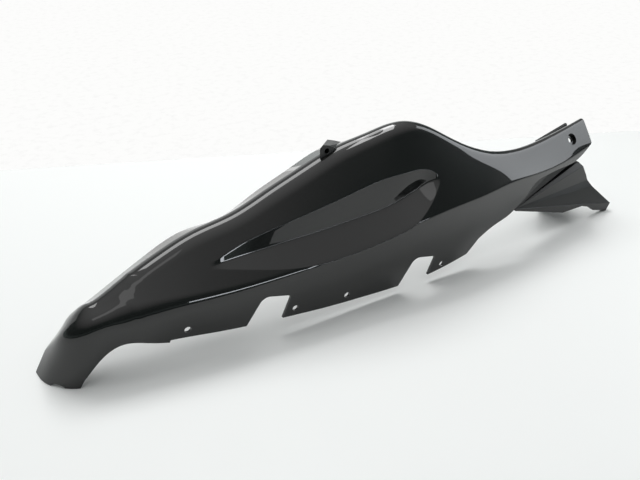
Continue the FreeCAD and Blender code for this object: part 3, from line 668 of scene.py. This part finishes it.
# The folded moulding in front: facets, bottom lip, inner wall, the web that joins them, pads
def makeExtension():
    points, sheet = extension["points"], extension["sheet"]
    builders = [lambda bm, names=names: addSheet(bm, [points[name] for name in names], sheet)
                for names in extension["facets"]]
    corner, point = points["corner"], points["point"]
    slope = (point[1] - corner[1]) / (point[0] - corner[0])
    rim = [(x, corner[1] + slope * (x - corner[0]) - extension["lipProud"], z)
           for x, z in [(corner[0], corner[2]), (point[0], point[2])] + extension["lip"]]
    builders.append(lambda bm: addSheet(bm, rim, extension["lipDepth"]))
    webRear = points["wallHeel"][0] - extension["webRear"]
    webFront = points["front"][0] - extension["webFront"]
    web = [(webRear, points["front"][1] + sheet / 2), (webFront, points["fold"][1]),
           (webFront, points["wallHeel"][1] + extension["webInto"]),
           (webRear, points["wallHeel"][1])]
    low, high = extension["webZ"], extension["webZ"] + extension["web"]
    builders.append(lambda bm: addLoft(bm, [(x, y, low) for x, y in web],
                                       [(x, y, high) for x, y in web]))
    padRadius, padDepth, skim = extension["padRadius"], extension["padDepth"], extension["skim"]
    for x in screwPlaces["x"]:
        builders.append(lambda bm, x=x: addTurned(
            bm, padPlace(x), (0, 1, 0), [(padRadius, 0), (padRadius, padDepth)], segments=24))
    item = joinAll("extensionMoulding", builders)
    bm = bmesh.new()
    for x in screwPlaces["x"]:
        addTurned(bm, padPlace(x), (0, 1, 0),
                  [(extension["bossRoom"], -extension["roomBefore"]),
                   (extension["bossRoom"], -skim), (extension["screwRoom"], -skim),
                   (extension["screwRoom"], padDepth + skim), (padRadius, padDepth + skim),
                   (padRadius, extension["roomBehind"])], segments=24)
    applyBoolean(item, meshFrom("rooms", bm), "DIFFERENCE")
    clearSlivers(item.data)
    return item


extensionPiece = makeExtension()
print("extension built:", len(extensionPiece.data.polygons), "faces")

bracket = {
    "x": 279.0, "y": 25.0, "width": 22.0, "wall": 3.0, "flange": 153.0,
    # along and above the flange, at the outer and the inner face
    "outer": [(0, -12), (0, 7.7), (3.5, 10.8), (11, 8.7), (19, 3.7), (21, -2), (21, -12)],
    "inner": [(19, -14), (19, 2.2), (22.5, 5.5), (30, 3.2), (43, -1.8), (45, -6), (45, -14)],
    "holeX": 287.0, "holeRise": 3.6, "holeRadius": 2.75,
    "drillBefore": 1, "drillBehind": 2,
    "roomShift": 0.5,       # the room lies so much further forward than the roof
}


# The tapering lug on the flange: a hollow cap, open towards the front and below
def makeBracket():
    near, far, wall = bracket["y"], bracket["y"] + bracket["width"], bracket["wall"]
    outer, inner = ([(bracket["x"] + along, y, bracket["flange"] + rise)
                     for along, rise in bracket[name]]
                    for name, y in (("outer", near), ("inner", far)))
    bm = bmesh.new()
    addLoft(bm, outer, inner)
    item = addObject("bracketCap", meshFrom("bracketCap", bm))

    # The hollow's outline: a wall inside the rear points, far beyond the front ones
    def roomAt(share):
        points = []
        for number, (a, b) in enumerate(zip(outer, inner)):
            x, y, z = (p + (q - p) * share for p, q in zip(a, b))
            isRear, isFront = number < 2, number > 4
            x += wall if isRear else bracket["width"] if isFront else bracket["roomShift"]
            points.append((x, y, z - wall))
        return points

    bm = bmesh.new()
    addLoft(bm, roomAt(wall / bracket["width"]), roomAt(1 - wall / bracket["width"]))
    applyBoolean(item, meshFrom("room", bm), "DIFFERENCE")
    bm = bmesh.new()
    place = (bracket["holeX"], near - bracket["drillBefore"],
             bracket["flange"] + bracket["holeRise"])
    through = bracket["drillBefore"] + wall + bracket["drillBehind"]
    addTurned(bm, place, (0, 1, 0),
              [(bracket["holeRadius"], 0), (bracket["holeRadius"], through)], segments=32)
    applyBoolean(item, meshFrom("hole", bm), "DIFFERENCE")
    clearSlivers(item.data)
    return item


bracketPiece = makeBracket()
print("bracket built:", len(bracketPiece.data.polygons), "faces")


# A colour written as sRGB hex, as linear light by the sRGB curve
def linear(hexColour):
    parts = [int(hexColour[i:i + 2], 16) / 255 for i in (1, 3, 5)]
    return tuple(part / 12.92 if part <= 0.04045 else ((part + 0.055) / 1.055) ** 2.4
                 for part in parts) + (1.0,)


# Adds a node, sets it up and links its inputs from other nodes' outputs
def addNode(owner, kind, settings=None, inputs=None, links=None):
    node = owner.node_tree.nodes.new(kind)
    for name, value in (settings or {}).items():
        setattr(node, name, value)
    for name, value in (inputs or {}).items():
        node.inputs[name].default_value = value
    for name, (source, output) in (links or {}).items():
        owner.node_tree.links.new(source.outputs[output], node.inputs[name])
    return node


def newMaterial(name):
    material = bpy.data.materials.new(name)
    material.use_nodes = True
    material.node_tree.nodes.clear()
    return material


def finishMaterial(material, shader):
    addNode(material, "ShaderNodeOutputMaterial", links={"Surface": (shader, 0)})
    return material


# Black acrylic paint under clear coat, sprayed on the moulding: the eye sees mirror-like windows
# and table in it, softened by a faint orange peel about 2 mm across and by fine dust in places
def clearCoatedPaint():
    material = newMaterial("sprayed_black_paint")
    place = addNode(material, "ShaderNodeTexCoord")
    peel = addNode(material, "ShaderNodeTexNoise", inputs={
        "Scale": 1 / (2.2 * millimetre), "Detail": 1.5, "Roughness": 0.4},
        links={"Vector": (place, "Object")})
    bump = addNode(material, "ShaderNodeBump", inputs={
        "Strength": 0.03, "Distance": 0.1 * millimetre}, links={"Height": (peel, "Fac")})
    dust = addNode(material, "ShaderNodeTexNoise", inputs={
        "Scale": 1 / (45 * millimetre), "Detail": 5.0}, links={"Vector": (place, "Object")})
    haze = addNode(material, "ShaderNodeMapRange", inputs={
        "From Min": 0.35, "From Max": 0.7, "To Min": 0.015, "To Max": 0.04},
        links={"Value": (dust, "Fac")})
    shader = addNode(material, "ShaderNodeBsdfPrincipled", inputs={
        "Base Color": linear("#0a0c0b"), "Roughness": 0.5, "Specular IOR Level": 0.08,
        "Coat Weight": 1.0, "Coat IOR": 1.55},
        links={"Coat Normal": (bump, "Normal"), "Coat Roughness": (haze, "Result")})
    return finishMaterial(material, shader)


# Black ABS moulded in an etched tool: matte, with a leather-like grain under 1 mm wide and edges
# rounded by half a millimetre, which catch a thin line of light
def grainedPlastic():
    material = newMaterial("moulded_black_abs")
    place = addNode(material, "ShaderNodeTexCoord")
    grain = addNode(material, "ShaderNodeTexVoronoi", {"feature": "SMOOTH_F1"}, {
        "Scale": 1 / (0.9 * millimetre), "Smoothness": 0.6}, {"Vector": (place, "Object")})
    drift = addNode(material, "ShaderNodeTexNoise", inputs={
        "Scale": 1 / (30 * millimetre), "Detail": 3.0}, links={"Vector": (place, "Object")})
    rounding = addNode(material, "ShaderNodeBevel", {"samples": 6},
                       {"Radius": 0.6 * millimetre})
    bump = addNode(material, "ShaderNodeBump", inputs={
        "Strength": 0.2, "Distance": 0.15 * millimetre},
        links={"Height": (grain, "Distance"), "Normal": (rounding, "Normal")})
    rough = addNode(material, "ShaderNodeMapRange", inputs={"To Min": 0.3, "To Max": 0.42},
                    links={"Value": (drift, "Fac")})
    shader = addNode(material, "ShaderNodeBsdfPrincipled", inputs={
        "Base Color": linear("#131414"), "IOR": 1.5},
        links={"Roughness": (rough, "Result"), "Normal": (bump, "Normal")})
    return finishMaterial(material, shader)


# Cold-headed steel with a zinc coat: grey and half matte, slightly blotched by the bath
def zincedSteel():
    material = newMaterial("zinced_steel")
    place = addNode(material, "ShaderNodeTexCoord")
    bath = addNode(material, "ShaderNodeTexNoise", inputs={
        "Scale": 1 / (1.5 * millimetre), "Detail": 2.0}, links={"Vector": (place, "Object")})
    rough = addNode(material, "ShaderNodeMapRange", inputs={"To Min": 0.3, "To Max": 0.45},
                    links={"Value": (bath, "Fac")})
    shader = addNode(material, "ShaderNodeBsdfPrincipled", inputs={
        "Base Color": linear("#a5a7ab"), "Metallic": 1.0}, links={"Roughness": (rough, "Result")})
    return finishMaterial(material, shader)


paint = clearCoatedPaint()
plastic = grainedPlastic()
steel = zincedSteel()
panelShell.data.materials.clear()
panelShell.data.materials.append(paint)
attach(panelShell, "root")
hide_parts("side_panel")
for piece, node in ((extensionPiece, "front_extension"), (bracketPiece, "seat_bracket")):
    piece.data.materials.clear()
    piece.data.materials.append(plastic)
    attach(piece, "root")
    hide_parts(node)
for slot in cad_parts["extension_screws"].material_slots:
    slot.material = steel
print("materials made")


stage = {
    "tableColour": "#f3f5f4", "wallColour": "#fdfdfc",
    "wallFoot": ((68, 538), (966, 167)),    # the table ends behind along this line, in mm
    "reach": 4.0,                           # half length of both boards, in metres
    "tableDepth": 0.95,                     # from there to the table's front edge
    "gap": 0.3 * millimetre,                # the table's top below the part's lowest point
}


# Painted board with the faint mottle of a roller
def paintedBoard(name, hexColour):
    material = newMaterial(name)
    place = addNode(material, "ShaderNodeTexCoord")
    mottle = addNode(material, "ShaderNodeTexNoise", inputs={
        "Scale": 1 / (60 * millimetre), "Detail": 4.0}, links={"Vector": (place, "Object")})
    rough = addNode(material, "ShaderNodeMapRange", inputs={"To Min": 0.5, "To Max": 0.7},
                    links={"Value": (mottle, "Fac")})
    shader = addNode(material, "ShaderNodeBsdfPrincipled", inputs={
        "Base Color": linear(hexColour), "IOR": 1.45}, links={"Roughness": (rough, "Result")})
    return finishMaterial(material, shader)


# Rough white plaster, shown to the eye and to reflections as its own colour, with painted shade of
# its trowelled bumps darkening that glow by up to 5 per cent
def whitePlaster(name, hexColour):
    material = newMaterial(name)
    path = addNode(material, "ShaderNodeLightPath")
    place = addNode(material, "ShaderNodeTexCoord")
    # painted shade: a noise laid out like trowelled plaster, used only to dim the glow
    trowelShadeNoise = addNode(material, "ShaderNodeTexNoise", inputs={
        "Scale": 1 / (14 * millimetre), "Detail": 6.0, "Roughness": 0.6},
        links={"Vector": (place, "Object")})
    # painted shade: the noise dims the plaster's glow where its bumps would be shaded
    paintedReliefShade = addNode(material, "ShaderNodeMapRange", inputs={
        "From Min": 0.3, "From Max": 0.5, "To Min": 0.95, "To Max": 1.0},
        links={"Value": (trowelShadeNoise, "Fac")})
    seen = addNode(material, "ShaderNodeEmission", inputs={"Color": linear(hexColour)},
                   links={"Strength": (paintedReliefShade, "Result")})
    lit = addNode(material, "ShaderNodeBsdfDiffuse", inputs={"Color": linear(hexColour)})
    direct = addNode(material, "ShaderNodeMath", {"operation": "MAXIMUM"}, links={
        0: (path, "Is Camera Ray"), 1: (path, "Is Glossy Ray")})
    mix = addNode(material, "ShaderNodeMixShader", links={
        0: (direct, 0), 1: (lit, 0), 2: (seen, 0)})
    return finishMaterial(material, mix)


# A flat board of the surroundings
def addBoard(name, corners, material):
    mesh = bpy.data.meshes.new(name)
    mesh.from_pydata([tuple(corner) for corner in corners], [], [tuple(range(len(corners)))])
    item = addObject(name, mesh)
    item.data.materials.append(material)
    return item


footA, footB = (Vector(toFrame((*spot, 0))) for spot in stage["wallFoot"])
along = (footB - footA).normalized() * stage["reach"]
middle = (footA + footB) / 2
drop = Vector((0, 0, -stage["gap"]))
front = Vector((along.y, -along.x, 0)).normalized() * stage["tableDepth"]
addBoard("table", [middle - along + drop, middle - along + front + drop,
                   middle + along + front + drop, middle + along + drop],
         paintedBoard("table_board", stage["tableColour"]))
# The white plaster behind lies flat, so that it hides the part from no side
behind = Vector((-front.x, -front.y, 0)).normalized() * stage["reach"]
addBoard("backdrop", [middle - along + drop, middle + along + drop,
                      middle + along + behind + drop, middle - along + behind + drop],
         whitePlaster("backdrop_plaster", stage["wallColour"]))

lamps = {
    # compass angle and height angle seen from the part, distance, width, height, watts, lean
    # back from facing the part, the way of the long side, colour
    "backWall": (85, 14, 2.0, 4.0, 1.1, 9, 14, (1.0, 0.0, 0.0), "#ffffff"),
    "skylight": (82, 58, 2.4, 1.9, 0.9, 25, 0, (1.0, 0.0, 0.0), "#ffffff"),
    "roofStrip": (42, 66, 2.2, 1.6, 0.35, 13, 0, (0.2, 0.93, -0.3), "#ffffff"),
    "doorway": (-72, 5, 3.0, 1.7, 0.22, 11, 0, (1.0, 0.0, 0.0), "#f4f8ff"),
    "nearPanel": (-6.3, 25.9, 0.687, 0.276, 0.47, 1.25, 25.9, (0.0, 1.0, 0.0), "#f2f6fa"),
    "leftWindow": (-143, 64, 2.2, 0.8, 0.5, 1.1, 0, (1.0, 0.0, 0.0), "#ffffff"),
}
part = Vector((0.0, 0.0, 0.08))         # the lamps' directions start here
# Too weak to light the table in the room, but seen in the paint
onlyMirrored = ("backWall", "doorway", "nearPanel", "leftWindow")
for name, (compass, rise, distance, width, height, power, lean, lengthways,
           colour) in lamps.items():
    lamp = bpy.data.lights.new(name, "AREA")
    lamp.shape = "RECTANGLE"
    lamp.size, lamp.size_y = width, height
    lamp.energy = power
    lamp.color = linear(colour)[:3]
    item = bpy.data.objects.new(name, lamp)
    away, back = (Vector((math.cos(math.radians(compass)) * math.cos(math.radians(angle)),
                          math.sin(math.radians(compass)) * math.cos(math.radians(angle)),
                          math.sin(math.radians(angle)))) for angle in (rise, rise - lean))
    aside = Vector(lengthways)
    aside = (aside - back * aside.dot(back)).normalized()
    item.location = part + away * distance
    item.rotation_euler = Matrix((aside, back.cross(aside), back)).transposed().to_euler()
    item.visible_diffuse = name not in onlyMirrored
    item.visible_camera = False
    bpy.context.scene.collection.objects.link(item)

# The room by height: a dim floor, dark walls behind the camera, a paler ceiling
room = [(-1.0, 0.3), (-0.04, 0.06), (0.03, 0.3), (0.12, 0.07), (0.42, 0.13),
        (0.6, 0.4), (0.75, 0.6), (1.0, 0.85)]
# The dim heights are slightly green, as in the paint
dim = {"below": 0.35, "tint": (0.84, 1.02, 0.98)}
world = bpy.data.worlds.new("room")
bpy.context.scene.world = world
world.use_nodes = True
world.node_tree.nodes.clear()
way = addNode(world, "ShaderNodeTexCoord")
split = addNode(world, "ShaderNodeSeparateXYZ", links={"Vector": (way, "Generated")})
height = addNode(world, "ShaderNodeMapRange", inputs={"From Min": -1.0, "From Max": 1.0},
                 links={"Value": (split, "Z")})
ramp = addNode(world, "ShaderNodeValToRGB", links={"Fac": (height, "Result")})
for number, (rise, level) in enumerate(room):
    stops = ramp.color_ramp.elements
    stop = stops[number] if number in (0, 1) else stops.new((rise + 1) / 2)
    stop.position = (rise + 1) / 2
    stop.color = [level * (tint if level < dim["below"] else 1.0) for tint in dim["tint"]] + [1.0]
background = addNode(world, "ShaderNodeBackground", links={"Color": (ramp, "Color")})
addNode(world, "ShaderNodeOutputWorld", links={"Surface": (background, "Background")})
bpy.context.scene.view_settings.view_transform = "Standard"
print("stage and light set")

bpy.context.view_layer.update()
